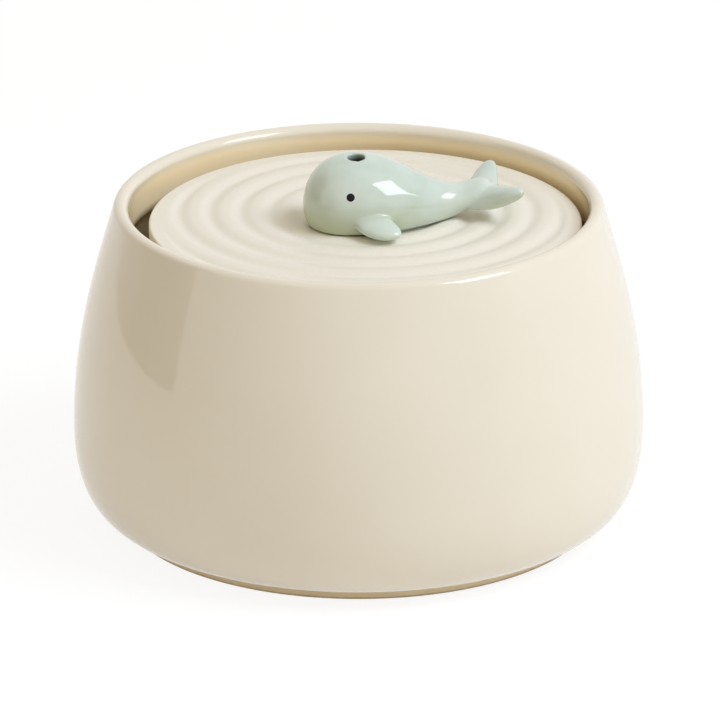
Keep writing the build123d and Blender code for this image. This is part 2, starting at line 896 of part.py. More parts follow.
def make_impeller():
    """Blades on a disc, and the sleeve that carries the magnet and runs on the shaft."""
    disc_back = motor_front - impeller_gap
    disc_front = disc_back - impeller_disc
    impeller = along_y(impeller_radius, disc_front, disc_back)
    impeller += along_y(rotor_sleeve, disc_front - blade_depth, magnet_back)
    impeller += along_y(magnet_radius - impeller_disc, disc_back, magnet_front)
    half = blade_thickness / 2
    blade = block((blade_root, impeller_radius), (-half, half), (0, blade_depth))
    for i in range(impeller_blades):
        impeller += on_shaft(Rot(0, 0, 360 / impeller_blades * i) * blade, disc_front)
    return impeller - along_y(shaft_radius + slip, disc_front - blade_depth, magnet_back)


def windows(depth):
    """The sector windows of the guard and the dial, standing up from z = 0."""
    made = []
    for i in range(window_count):
        start = 360 / window_count * i - window_angle / 2
        made.append(extrude(sector(window_inner, window_outer, start, window_angle), depth))
    return made


def make_guard():
    """A cup pushed over the volute, with four windows in its face."""
    inner = cover_radius + slip
    outer = inner + guard_wall
    face_back = guard_front + guard_wall
    guard = along_y(outer, guard_front, guard_back) - along_y(inner, face_back, guard_back)
    for window in windows(guard_wall):
        guard -= on_shaft(window, face_back)
    keyway = nozzle_radius + loose
    guard -= block((-keyway, keyway), (-keyway, guard_back), (rotor_z, rotor_z + outer))
    return guard - along_y(pivot_radius + slip, guard_front, face_back)


def make_dial():
    """The flow shutter: the same windows in a disc that turns on the guard's face."""
    back = guard_front - dial_gap
    front = back - dial_thickness
    dial = along_y(window_outer + dial_rim, front, back)
    for window in windows(dial_thickness):
        dial -= on_shaft(window, back)
    half = grip_width / 2
    bar = block((-half, half), (-grip_radius, grip_radius), (0, grip_height))
    dial += on_shaft(bar, front) & along_y(grip_radius, front - grip_height, front)
    head = guard_front + guard_wall + dial_gap
    dial += along_y(pivot_radius, back, head)
    dial += along_y(pivot_radius + pivot_head, head, head + 2 * pivot_head)
    return dial


def make_cups():
    """Suction cups: a neck that plugs into the housing and a bell that grips the floor."""
    base = pump_z - cup_height
    collar = cup_neck + cup_collar
    neck_top = pump_z + cup_socket - cup_fit
    bell = turned(*outline(
        (0, base + cup_hollow),
        (cup_radius - cup_lip, base),
        (cup_radius, base),
        (collar, base + cup_bell),
        (collar, pump_z),
        (cup_neck, pump_z),
        (cup_neck, neck_top),
        (0, neck_top),
    ))
    return Compound([Pos(x, y, 0) * bell for x, y in cup_places()])


def build():
    os.makedirs("parts", exist_ok=True)
    front_bush, rear_bush = make_bushes()
    cartridge_base, cartridge_top = make_cartridge_ends()
    bowl_pieces = {
        "bowl": make_bowl(),
        "foot_pads": make_pads(),
        "cable_grommet": make_grommet(),
    }
    module_pieces = {
        "drinking_plate": make_plate(),
        "spout_seal": make_seal(),
        "whale_spout": make_whale(),
        "riser_tube": make_tube(),
        "filter_basket": make_basket(),
        "basket_lid": make_lid(),
        "plate_stand": make_stand(),
        "plate_cushion": make_cushion(),
        "cartridge_base": cartridge_base,
        "cartridge_top": cartridge_top,
        "cartridge_ribs": make_ribs(),
        "cartridge_felt": make_felt(),
        "cartridge_carbon": make_carbon(),
        "foam_sleeve": make_foam(),
        "pump_housing": make_housing(),
        "stator_core": make_core(),
        "coil_bobbins": make_bobbins(),
        "coil_windings": make_windings(),
        "driver_board": make_board(),
        "potting_resin": make_potting(),
        "cable_gland": make_gland(),
        "pump_cover": make_cover(),
        "cover_o_ring": make_o_ring(),
        "pump_shaft": make_shaft(),
        "front_bush": front_bush,
        "rear_bush": rear_bush,
        "rotor_magnet": make_magnet(),
        "impeller": make_impeller(),
        "intake_guard": make_guard(),
        "flow_dial": make_dial(),
        "suction_cups": make_cups(),
    }
    for name, shape in bowl_pieces.items():
        save(shape, name)
    for name, shape in module_pieces.items():
        save(Pos(*module_place, 0) * shape, name)


build()
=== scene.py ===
import bpy
import bmesh
import json
from math import atan2, cos, sin, pi, radians
from mathutils import Matrix, Vector, noise
from mathutils.geometry import interpolate_bezier


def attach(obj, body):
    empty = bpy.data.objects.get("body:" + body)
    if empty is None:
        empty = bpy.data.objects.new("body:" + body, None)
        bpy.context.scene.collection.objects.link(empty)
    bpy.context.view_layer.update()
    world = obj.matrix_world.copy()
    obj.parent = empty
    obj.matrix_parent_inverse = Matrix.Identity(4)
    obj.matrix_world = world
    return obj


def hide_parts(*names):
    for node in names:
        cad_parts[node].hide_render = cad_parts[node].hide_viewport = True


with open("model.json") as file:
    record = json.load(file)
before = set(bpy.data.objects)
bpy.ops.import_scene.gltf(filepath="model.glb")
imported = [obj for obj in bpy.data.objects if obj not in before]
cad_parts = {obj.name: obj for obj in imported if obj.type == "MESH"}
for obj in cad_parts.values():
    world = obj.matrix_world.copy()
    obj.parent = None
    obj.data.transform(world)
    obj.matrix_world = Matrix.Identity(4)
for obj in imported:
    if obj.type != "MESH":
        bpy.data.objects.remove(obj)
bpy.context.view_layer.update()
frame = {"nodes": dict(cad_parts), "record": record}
mm = 0.001
waveRepeat = 2 * pi / 20  # metres that a wave texture takes to repeat at a Scale of 1


def partway(value, start, end):
    # how far value lies from start to end, held between 0 and 1
    return min(max((value - start) / (end - start), 0), 1)


def toLinear(hexColour):
    parts = [int(hexColour[i:i + 2], 16) / 255 for i in (1, 3, 5)]
    return tuple(c / 12.92 if c <= 0.04045 else ((c + 0.055) / 1.055) ** 2.4 for c in parts) + (1.0,)


def plug(tree, node, inputs):
    # an input takes a plain value, a hex colour or another node's output
    for key, value in inputs.items():
        if isinstance(value, bpy.types.NodeSocket):
            tree.links.new(value, node.inputs[key])
        else:
            node.inputs[key].default_value = toLinear(value) if isinstance(value, str) else value


def addNode(tree, kind, inputs=None, out=0, stops=(), **options):
    # adds a shader node and gives back one of its outputs
    node = tree.nodes.new("ShaderNode" + kind)
    for name, value in options.items():
        setattr(node, name, value)
    plug(tree, node, inputs or {})
    if stops:
        marks = node.color_ramp.elements
        marks[0].position, marks[1].position = stops[0][0], stops[-1][0]
        for position, colour in stops[1:-1]:
            marks.new(position)
        for mark, (position, colour) in zip(marks, stops):
            mark.color = toLinear(colour)
    return node.outputs[out]


def newMaterial(name):
    # point is the place on the object, which every pattern reads
    material = bpy.data.materials.new(name)
    material.use_nodes = True
    tree = material.node_tree
    point = addNode(tree, "TexCoord", out="Object")
    return material, tree, tree.nodes["Principled BSDF"], point


def addPiece(name, bm, material, body, replaces=()):
    mesh = bpy.data.meshes.new(name)
    bm.to_mesh(mesh)
    bm.free()
    piece = bpy.data.objects.new(name, mesh)
    bpy.context.scene.collection.objects.link(piece)
    for polygon in mesh.polygons:
        polygon.use_smooth = True
    mesh.materials.append(material)
    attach(piece, body)
    if replaces:
        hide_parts(*replaces)
    return piece


def applyModifiers(piece):
    evaluated = piece.evaluated_get(bpy.context.evaluated_depsgraph_get())
    mesh = bpy.data.meshes.new_from_object(evaluated)
    piece.modifiers.clear()
    old = piece.data
    piece.data = mesh
    bpy.data.meshes.remove(old)


def flatPoint(radius, height):
    return Vector((radius * mm, 0, height * mm))


def curvePoints(knots, count):
    # knots are (start, handle, handle, end) in (radius, height) millimetres
    a, b, c, d = [flatPoint(*knot) for knot in knots]
    return interpolate_bezier(a, b, c, d, count)


def arcPoints(centre, radius, start, end, count):
    angles = [radians(start + (end - start) * i / (count - 1)) for i in range(count)]
    return [flatPoint(centre[0] + radius * cos(a), centre[1] + radius * sin(a)) for a in angles]


def spun(points, steps=256):
    # turns a profile in the XZ plane once about Z and closes it
    bm = bmesh.new()
    verts = [bm.verts.new(p) for p in points]
    edges = [bm.edges.new(pair) for pair in zip(verts, verts[1:])]
    about = {"cent": (0, 0, 0), "axis": (0, 0, 1), "angle": 2 * pi}
    bmesh.ops.spin(bm, geom=verts + edges, steps=steps, use_merge=True, **about)
    bmesh.ops.remove_doubles(bm, verts=bm.verts, dist=0.02 * mm)
    bmesh.ops.recalc_face_normals(bm, faces=bm.faces)
    return bm


def glossCreamGlaze():
    # transparent-glossy stoneware glaze, dipped: a deep soft shine with faint clouds in the cream,
    # honey-coloured inside and on the foot where it lies thick, the honey also painted warm bounce light.
    # The foot ring stands on bare clay, wiped clean
    material, tree, shader, point = newMaterial("glossCreamGlaze")
    clouds = addNode(tree, "TexNoise", {"Vector": point, "Scale": 1 / (60 * mm), "Detail": 2.0})
    cream = addNode(tree, "ValToRGB", {"Fac": clouds}, stops=[(0.3, "#e7decb"), (0.7, "#ebe2cf")])
    # honey is the thick glaze's colour and also painted warm bounce light
    honeyAndBounce = addNode(tree, "ValToRGB", {"Fac": clouds}, stops=[(0.3, "#fae4b8"), (0.7, "#fceac4")])
    poolAndBounce = addNode(tree, "Attribute", out="Fac", attribute_name="poolAndBounce")
    glaze = addNode(tree, "Mix", {0: poolAndBounce, 6: cream, 7: honeyAndBounce}, out=2, data_type="RGBA")
    grain = addNode(tree, "TexNoise", {"Vector": point, "Scale": 1 / (1.2 * mm), "Detail": 4.0})
    clay = addNode(tree, "ValToRGB", {"Fac": grain}, stops=[(0.35, "#cfbd99"), (0.65, "#dccbaa")])
    height = addNode(tree, "SeparateXYZ", {"Vector": point}, out="Z")
    ragged = addNode(tree, "TexNoise", {"Vector": point, "Scale": 1 / (12 * mm)})
    line = addNode(tree, "Math", {0: ragged, 1: 0.6 * mm, 2: height}, operation="MULTIPLY_ADD")
    glazed = addNode(tree, "MapRange", {"Value": line, "From Min": 1.4 * mm, "From Max": 1.8 * mm})
    colour = addNode(tree, "Mix", {0: glazed, 6: clay, 7: glaze}, out=2, data_type="RGBA")
    rough = addNode(tree, "MapRange", {"Value": glazed, "To Min": 0.75, "To Max": 0.06})
    peel = addNode(tree, "TexNoise", {"Vector": point, "Scale": 1 / (9 * mm), "Detail": 1.0})
    waves = addNode(tree, "Bump", {"Height": peel, "Strength": 0.6, "Distance": 0.05 * mm})
    plug(tree, shader, {"Base Color": colour, "Roughness": rough, "Normal": waves, "IOR": 1.5})
    return material


def satinCreamGlaze():
    # magnesium-matt glaze: velvety, with pin-point speckle and soft highlights
    material, tree, shader, point = newMaterial("satinCreamGlaze")
    dots = {"Scale": 1 / (1.6 * mm), "Detail": 5.0, "Roughness": 0.7}
    speckle = addNode(tree, "TexNoise", {"Vector": point, **dots})
    cream = addNode(tree, "ValToRGB", {"Fac": speckle}, stops=[(0.3, "#e9e3d3"), (0.7, "#eee8da")])
    rough = addNode(tree, "MapRange", {"Value": speckle, "To Min": 0.42, "To Max": 0.52})
    tooth = addNode(tree, "Bump", {"Height": speckle, "Strength": 0.5, "Distance": 0.02 * mm})
    plug(tree, shader, {"Base Color": cream, "Roughness": rough, "Normal": tooth, "IOR": 1.5})
    return material


def celadonGlaze():
    # thick glossy celadon over white clay: cloudy pale green, with painted shade darker and more olive
    # towards the bottom, the fins and tail kept pale, a painted glint as a paler ring round the iron-black
    # eyes, and painted shade darkening the spout's channel
    material, tree, shader, point = newMaterial("celadonGlaze")
    clouds = addNode(tree, "TexNoise", {"Vector": point, "Scale": 1 / (14 * mm), "Detail": 3.0})
    greens = [(0.3, "#c4d2c5"), (0.5, "#cdd9cd"), (0.7, "#d4dfd3")]
    upper = addNode(tree, "ValToRGB", {"Fac": clouds}, stops=greens)
    height = addNode(tree, "SeparateXYZ", {"Vector": point}, out="Z")
    # painted shade: the glaze darker and more olive towards the bottom
    climb = {"Value": height, "From Min": 112.5 * mm, "From Max": 127 * mm}
    aboveLowShade = addNode(tree, "MapRange", climb, interpolation_type="SMOOTHSTEP")
    # painted light: the fins and tail kept in the pale green, out of the painted shade below
    paintedPale = addNode(tree, "Attribute", out="Fac", attribute_name="paintedPale")
    clear = addNode(tree, "Math", {0: aboveLowShade, 1: paintedPale}, operation="MAXIMUM")
    green = addNode(tree, "Mix", {0: clear, 6: "#b6be9f", 7: upper}, out=2, data_type="RGBA")
    # painted glint: a paler ring round each eye
    glintRing = addNode(tree, "Attribute", out="Fac", attribute_name="glintRing")
    pale = addNode(tree, "Mix", {0: glintRing, 6: green, 7: "#dbe4d9"}, out=2, data_type="RGBA")
    # painted shade inside the spout's channel
    holeShade = addNode(tree, "Attribute", out="Fac", attribute_name="holeShade")
    colour = addNode(tree, "Mix", {0: holeShade, 6: pale, 7: "#4c524b"}, out=2, data_type="RGBA")
    rough = addNode(tree, "MapRange", {"Value": clouds, "To Min": 0.06, "To Max": 0.11})
    peel = addNode(tree, "TexNoise", {"Vector": point, "Scale": 1 / (6 * mm), "Detail": 1.0})
    waves = addNode(tree, "Bump", {"Height": peel, "Strength": 0.5, "Distance": 0.04 * mm})
    plug(tree, shader, {"Base Color": colour, "Roughness": rough, "Normal": waves, "IOR": 1.52})
    return material


def ironBlackGlaze():
    # iron-black overglaze, dotted on thick and fired dry
    material, tree, shader, point = newMaterial("ironBlackGlaze")
    specks = addNode(tree, "TexNoise", {"Vector": point, "Scale": 1 / (0.8 * mm), "Detail": 3.0})
    black = addNode(tree, "ValToRGB", {"Fac": specks}, stops=[(0.3, "#080908"), (0.7, "#131512")])
    plug(tree, shader, {"Base Color": black, "Roughness": 0.5, "Specular IOR Level": 0.2, "IOR": 1.5})
    return material


def mouldedSilicone(name, low, high, roughness):
    # cast silicone rubber: even, slightly waxy, with a fine matt bloom
    material, tree, shader, point = newMaterial(name)
    bloom = addNode(tree, "TexNoise", {"Vector": point, "Scale": 1 / (2.5 * mm), "Detail": 4.0})
    colour = addNode(tree, "ValToRGB", {"Fac": bloom}, stops=[(0.3, low), (0.7, high)])
    grain = addNode(tree, "TexNoise", {"Vector": point, "Scale": 1 / (0.4 * mm)})
    matt = addNode(tree, "Bump", {"Height": grain, "Strength": 0.5, "Distance": 0.01 * mm})
    plug(tree, shader, {"Base Color": colour, "Roughness": roughness, "Normal": matt, "IOR": 1.41})
    return material


def mouldedPlastic(name, low, high, roughness):
    # injection-moulded plastic: a fine spark-eroded texture and slight flow marks in the colour
    material, tree, shader, point = newMaterial(name)
    flow = addNode(tree, "TexNoise", {"Vector": point, "Scale": 1 / (18 * mm), "Detail": 3.0})
    colour = addNode(tree, "ValToRGB", {"Fac": flow}, stops=[(0.3, low), (0.7, high)])
    sheen = {"Value": flow, "To Min": roughness - 0.04, "To Max": roughness + 0.06}
    rough = addNode(tree, "MapRange", sheen)
    sparks = addNode(tree, "TexNoise", {"Vector": point, "Scale": 1 / (0.6 * mm)})
    tooth = addNode(tree, "Bump", {"Height": sparks, "Strength": 0.6, "Distance": 0.02 * mm})
    plug(tree, shader, {"Base Color": colour, "Roughness": rough, "Normal": tooth, "IOR": 1.49})
    return material


def needledFelt():
    # needled polyester: matt, tangled fibres, drawn coarse in tufts of 1.2 mm so that they show
    material, tree, shader, point = newMaterial("needledFelt")
    tangle = {"Scale": 1 / (1.2 * mm), "Detail": 8.0, "Distortion": 1.6}
    fibres = addNode(tree, "TexNoise", {"Vector": point, **tangle})
    colour = addNode(tree, "ValToRGB", {"Fac": fibres}, stops=[(0.35, "#cfcec6"), (0.65, "#f2f1ec")])
    nap = addNode(tree, "Bump", {"Height": fibres, "Strength": 0.8, "Distance": 0.3 * mm})
    plug(tree, shader, {"Base Color": colour, "Roughness": 0.95, "Sheen Weight": 0.3, "Normal": nap})
    return material


def openCellFoam():
    # reticulated polyurethane foam: open pores of about 1 mm, set 1.6 mm apart, with painted shade
    # darkening them
    material, tree, shader, point = newMaterial("openCellFoam")
    pores = addNode(tree, "TexVoronoi", {"Vector": point, "Scale": 1 / (1.6 * mm)}, out="Distance")
    colour = addNode(tree, "ValToRGB", {"Fac": pores}, stops=[(0.1, "#0d0e10"), (0.6, "#3a3d41")])
    cells = addNode(tree, "Bump", {"Height": pores, "Strength": 1.0, "Distance": 0.6 * mm})
    plug(tree, shader, {"Base Color": colour, "Roughness": 0.9, "Normal": cells})
    return material


def carbonGranules():
    # crushed coconut carbon: dull black grains of about 1.5 mm, heaped 2.2 mm apart, with painted shade
    # darkening the gaps between them
    material, tree, shader, point = newMaterial("carbonGranules")
    grains = addNode(tree, "TexVoronoi", {"Vector": point, "Scale": 1 / (2.2 * mm)}, out="Distance")
    colour = addNode(tree, "ValToRGB", {"Fac": grains}, stops=[(0.0, "#2b2b2c"), (0.7, "#060606")])
    heaps = addNode(tree, "Bump", {"Height": grains, "Strength": 1.0, "Distance": 0.8 * mm}, invert=True)
    plug(tree, shader, {"Base Color": colour, "Roughness": 0.6, "Normal": heaps})
    return material


def laminatedSteel():
    # stacked silicon-steel sheets, whose joints are fine lines across Y. Real sheets are 0.5 mm
    # thick, and these are drawn at twice that, 0.987 mm
    material, tree, shader, point = newMaterial("laminatedSteel")
    stack = {"Vector": point, "Scale": waveRepeat / (0.987 * mm)}
    sheets = addNode(tree, "TexWave", stack, out="Fac", bands_direction="Y")
    colour = addNode(tree, "ValToRGB", {"Fac": sheets}, stops=[(0.1, "#4a4c50"), (0.5, "#8e9196")])
    plug(tree, shader, {"Base Color": colour, "Metallic": 1.0, "Roughness": 0.42})
    return material


def copperWire():
    # enamelled copper wire wound in even layers, seen as shiny ridges across Z with painted shade in the
    # grooves between turns. The real wire is
    # 0.3 mm thick, and this is drawn at twice that, 0.592 mm
    material, tree, shader, point = newMaterial("copperWire")
    winding = {"Vector": point, "Scale": waveRepeat / (0.592 * mm)}
    turns = addNode(tree, "TexWave", winding, out="Fac", bands_direction="Z")
    colour = addNode(tree, "ValToRGB", {"Fac": turns}, stops=[(0.0, "#5f2b12"), (0.6, "#c06a35")])
    layers = addNode(tree, "Bump", {"Height": turns, "Strength": 0.7, "Distance": 0.1 * mm})
    plug(tree, shader, {"Base Color": colour, "Metallic": 1.0, "Roughness": 0.3, "Normal": layers})
    return material


def solderMask():
    # green solder mask printed over glass-epoxy laminate, whose weave just shows through. It is
    # drawn coarse, 1.5 by 0.75 mm: a brick is half as long and a quarter as high as the 3 mm unit
    material, tree, shader, point = newMaterial("solderMask")
    greens = {"Color1": "#0f5a34", "Color2": "#13663c", "Mortar": "#1d7a4a"}
    weave = {"Scale": 1 / (3 * mm), "Mortar Size": 0.03}
    colour = addNode(tree, "TexBrick", {"Vector": point, **weave, **greens}, out="Color")
    plug(tree, shader, {"Base Color": colour, "Roughness": 0.35})
    return material


def castEpoxy():
    # poured black epoxy: glossy with faint settling swirls
    material, tree, shader, point = newMaterial("castEpoxy")
    swirls = addNode(tree, "TexNoise", {"Vector": point, "Scale": 1 / (8 * mm), "Distortion": 1.0})
    colour = addNode(tree, "ValToRGB", {"Fac": swirls}, stops=[(0.3, "#08080a"), (0.7, "#131316")])
    plug(tree, shader, {"Base Color": colour, "Roughness": 0.22, "IOR": 1.55})
    return material


def groundAlumina():
    # centreless-ground alumina rod with fine grinding marks
    material, tree, shader, point = newMaterial("groundAlumina")
    marks = addNode(tree, "TexNoise", {"Vector": point, "Scale": 1 / (0.6 * mm)})
    colour = addNode(tree, "ValToRGB", {"Fac": marks}, stops=[(0.3, "#ddd8cc"), (0.7, "#efece4")])
    plug(tree, shader, {"Base Color": colour, "Roughness": 0.3, "IOR": 1.6})
    return material


def sinteredFerrite():
    # pressed and sintered ferrite: dark grey, faintly porous, with painted shade darkening the pits
    material, tree, shader, point = newMaterial("sinteredFerrite")
    pitting = {"Scale": 1 / (0.9 * mm), "Detail": 5.0, "Roughness": 0.7}
    pores = addNode(tree, "TexNoise", {"Vector": point, **pitting})
    colour = addNode(tree, "ValToRGB", {"Fac": pores}, stops=[(0.35, "#1b1b1d"), (0.65, "#39393c")])
    pits = addNode(tree, "Bump", {"Height": pores, "Strength": 0.6, "Distance": 0.03 * mm})
    plug(tree, shader, {"Base Color": colour, "Roughness": 0.55, "Normal": pits})
    return material


finishes = {
    "cream_glaze": glossCreamGlaze(),
    "cream_matte_glaze": satinCreamGlaze(),
    "celadon_glaze": celadonGlaze(),
    "white_silicone": mouldedSilicone("whiteSilicone", "#dedbd2", "#e9e6de", 0.45),
    "grey_silicone": mouldedSilicone("greySilicone", "#6a6a68", "#777775", 0.5),
    "white_polypropylene": mouldedPlastic("whitePolypropylene", "#e4e3dd", "#eeede8", 0.38),
    "charcoal_abs": mouldedPlastic("charcoalAbs", "#24272a", "#2c2f33", 0.42),
    "blue_acetal": mouldedPlastic("blueAcetal", "#3c6f9c", "#457aa8", 0.3),
    "filter_felt": needledFelt(),
    "filter_foam": openCellFoam(),
    "carbon_granules": carbonGranules(),
    "silicon_steel": laminatedSteel(),
    "enamelled_copper": copperWire(),
    "green_laminate": solderMask(),
    "black_epoxy": castEpoxy(),
    "alumina": groundAlumina(),
    "ferrite": sinteredFerrite(),
}
nodeSlots = {part["node"]: part["material_slot"] for part in frame["record"]["subparts"]}
for name, node in frame["nodes"].items():
    material = finishes[nodeSlots[name]]
    if not node.material_slots:
        node.data.materials.append(material)
    for slot in node.material_slots:
        slot.material = material
print("materials", len(finishes))


bowl = {
    "height": 121.0,
    "belly": (105.0, 35.0),  # radius and height, as the foot and the floor
    "rim": 86.8,  # radius to the middle of the lip
    "wall": 5.6,
    "lean": 16.8,  # degrees that the side leans in under the lip
    "rimPull": 27.0,  # how far the side's curve holds its direction: down from the lip,
    "shoulderPull": 33.0,  # up from the belly,
    "bellyPull": 16.5,  # down from the belly,
    "footPull": 12.8,  # out from the foot
    "floorPull": 13.0,  # and out from the floor's edge
    "sideSteps": (28, 40),  # points below and above the belly
    "throat": (106.0, 99.5),  # inside, the lip hangs straight to the first height, then eases out
    "foot": (87.6, 4.4),
    "footWidth": 9.0,
    "footRounds": (1.5, 0.8, 0.4, 0.5),  # in the recess, on the ring's two edges and above it
    "floor": (80.0, 11.0),
    "standoff": 0.5,  # the pads hold the foot ring this far off the table
    "cable": (90.0, 5.5),  # height and radius of the hole in the back
    "cutter": (95.0, 30.0),  # the middle and the length of what cuts it
    "poolAndBounceDepth": 1.5,  # the glaze turns to honey, with painted warm bounce light, within this much below the lip
    "footPoolAndBounce": 0.8,  # how thick it ran on the foot, of 1, also painting warm bounce light there
}
lipHeight = bowl["height"] - bowl["wall"] / 2


def sideCurves(inset, heel, pull):
    # the outer side with inset 0, the inner one with inset equal to the wall
    side = bowl["wall"] / 2 - inset
    lean = radians(bowl["lean"])
    end = (bowl["rim"] + side * cos(lean), lipHeight + side * sin(lean))
    radius, height = bowl["belly"][0] - inset, bowl["belly"][1]
    below, above = bowl["sideSteps"]
    hang = (radius, height - bowl["bellyPull"] + inset / 2)
    lower = curvePoints([heel, (heel[0] + pull, heel[1]), hang, (radius, height)], below)
    drop = (end[0] + bowl["rimPull"] * sin(lean), end[1] - bowl["rimPull"] * cos(lean))
    upper = curvePoints([(radius, height), (radius, height + bowl["shoulderPull"]), drop, end], above)
    return lower + upper[1:]


def throated(points):
    # the inner side with the thickened band that a thrown lip has
    straight, back = bowl["throat"]
    edge = points[-1].x
    for point in points:
        share = partway(point.z / mm, back, straight)
        point.x += (edge - point.x) * share * share * (3 - 2 * share)
    return points


def makeBowl():
    footRadius, footTop = bowl["foot"]
    low = bowl["standoff"]
    inner = footRadius - bowl["footWidth"]
    outside = sideCurves(0, bowl["foot"], bowl["footPull"])
    inside = throated(sideCurves(bowl["wall"], bowl["floor"], bowl["floorPull"]))
    lip = arcPoints((bowl["rim"], lipHeight), bowl["wall"] / 2, bowl["lean"], bowl["lean"] + 180, 17)
    recess, inEdge, outEdge, heel = bowl["footRounds"]
    under = [flatPoint(0, footTop), flatPoint(inner - recess, footTop)]
    under += arcPoints((inner - recess, footTop - recess), recess, 90, 0, 6)[1:]
    under += arcPoints((inner + inEdge, low + inEdge), inEdge, 180, 270, 5)
    under += arcPoints((footRadius - outEdge, low + outEdge), outEdge, 270, 360, 6)
    under += arcPoints((footRadius + heel, footTop - heel), heel, 180, 90, 5)[:-1]
    floor = [flatPoint(0, bowl["floor"][1])]
    bm = spun(under + outside[1:] + lip[1:] + list(reversed(inside))[1:] + floor)
    markPoolAndBounce(bm)
    finish = "cream_glaze"
    piece = addPiece("glazedBowl", bm, finishes[finish], "bowl_base", ["bowl"])
    cutCableHole(piece)


def markPoolAndBounce(bm):
    # how deep the glaze lies, and where warm bounce light is painted with it: 0 on the side and the lip, 1
    # on the inside, and thick on the foot
    layer = bm.verts.layers.float.new("poolAndBounce")
    footTop = (bowl["foot"][1] + 0.1) * mm  # just over the top of the foot
    bm.normal_update()
    for vert in bm.verts:
        inward = -vert.normal.xy.dot(vert.co.xy.normalized()) if vert.co.xy.length > 0 else 0
        if vert.co.z > bowl["floor"][1] * mm and inward > 0:
            vert[layer] = partway(lipHeight * mm - vert.co.z, 0, bowl["poolAndBounceDepth"] * mm)
        elif vert.co.z < footTop:
            vert[layer] = bowl["footPoolAndBounce"]


def cutCableHole(piece):
    # the grommet sits in this hole
    height, radius = bowl["cable"]
    middle, length = bowl["cutter"]
    bm = bmesh.new()
    place = Matrix.Translation(Vector((0, middle, height)) * mm) @ Matrix.Rotation(radians(90), 4, "X")
    rod = {"segments": 48, "radius1": radius * mm, "radius2": radius * mm, "depth": length * mm}
    bmesh.ops.create_cone(bm, cap_ends=True, matrix=place, **rod)
    mesh = bpy.data.meshes.new("cutter")
    bm.to_mesh(mesh)
    bm.free()
    cutter = bpy.data.objects.new("cutter", mesh)
    bpy.context.scene.collection.objects.link(cutter)
    cut = piece.modifiers.new("cableHole", "BOOLEAN")
    cut.object = cutter
    cut.solver = "EXACT"
    applyModifiers(piece)
    bpy.data.objects.remove(cutter)


makeBowl()
print("bowl")


plate = {
    "place": (2.4, 1.0, 0),  # off the bowl's axis, as the filter module under it
    "radius": 79.0,
    "top": 113.0,
    "thickness": 7.0,
    "edgeRound": (2.6, 0.9),  # under and on top
    "ripples": {
        "centre": (4.4, 13.0),
        "first": 25.7,  # radius of the first trough
        "pitch": 11.15,
        "depth": 1.0,
        "sharp": 1.5,  # 1 is an even wave, more makes narrow troughs between broad crests
        "from": 15.0,  # they start this far from their centre
        "to": 74.5,  # and stop this far from the plate's middle
        "fades": (5.0, 3.5),  # how soon they are there and gone
    },
    "rows": 110,  # rings of points across the top, which the ripples move
    "hole": 7.4,
    "recess": (9.68, 1.2),  # radius and depth of the seal's seat round the hole
    "boss": (14.0, 6.0),  # radius and depth of the collar under it
    "locator": (54.6, 58.6, 3.0),  # two radii and depth of the ring under the plate that centres it
}


def rippleDepth(x, y):
    # rings that run out from under the whale, a little behind the plate's middle
    ripples = plate["ripples"]
    fadeIn, fadeOut = ripples["fades"]
    away = (Vector((x, y)) - Vector(ripples["centre"])).length
    edge = (Vector((x, y)) - Vector(plate["place"][:2])).length
    wave = 0.5 + 0.5 * cos(2 * pi * (away - ripples["first"]) / ripples["pitch"])
    inner = partway(away, ripples["from"], ripples["from"] + fadeIn)
    outer = partway(ripples["to"] - edge, 0, fadeOut)
    return ripples["depth"] * wave ** ripples["sharp"] * inner * outer


def makePlate():
    top, under = plate["top"], plate["top"] - plate["thickness"]
    radius = plate["radius"]
    low, high = plate["edgeRound"]
    recess, sunk = plate["recess"]
    boss, bossDepth = plate["boss"]
    locatorIn, locatorOut, locatorDepth = plate["locator"]
    profile = [
        flatPoint(plate["hole"], top - sunk),
        flatPoint(plate["hole"], under - bossDepth),
        flatPoint(boss, under - bossDepth),
        flatPoint(boss, under),
        flatPoint(locatorIn, under),
        flatPoint(locatorIn, under - locatorDepth),
        flatPoint(locatorOut, under - locatorDepth),
        flatPoint(locatorOut, under),
    ]
    profile += arcPoints((radius - low, under + low), low, 270, 360, 7)
    profile += arcPoints((radius - high, top - high), high, 0, 90, 7)
    step = (radius - high - recess) / plate["rows"]
    profile += [flatPoint(radius - high - step * i, top) for i in range(1, plate["rows"] + 1)]
    profile += [flatPoint(recess, top - sunk), flatPoint(plate["hole"], top - sunk)]
    bm = spun(profile, 320)
    bmesh.ops.translate(bm, vec=Vector(plate["place"]) * mm, verts=bm.verts)
    for vert in bm.verts:
        if vert.co.z > (top - 0.001) * mm:  # on the flat of the top
            vert.co.z -= rippleDepth(vert.co.x / mm, vert.co.y / mm) * mm
    finish = "cream_matte_glaze"
    addPiece("rippledPlate", bm, finishes[finish], "plate", ["drinking_plate"])


makePlate()
print("plate")


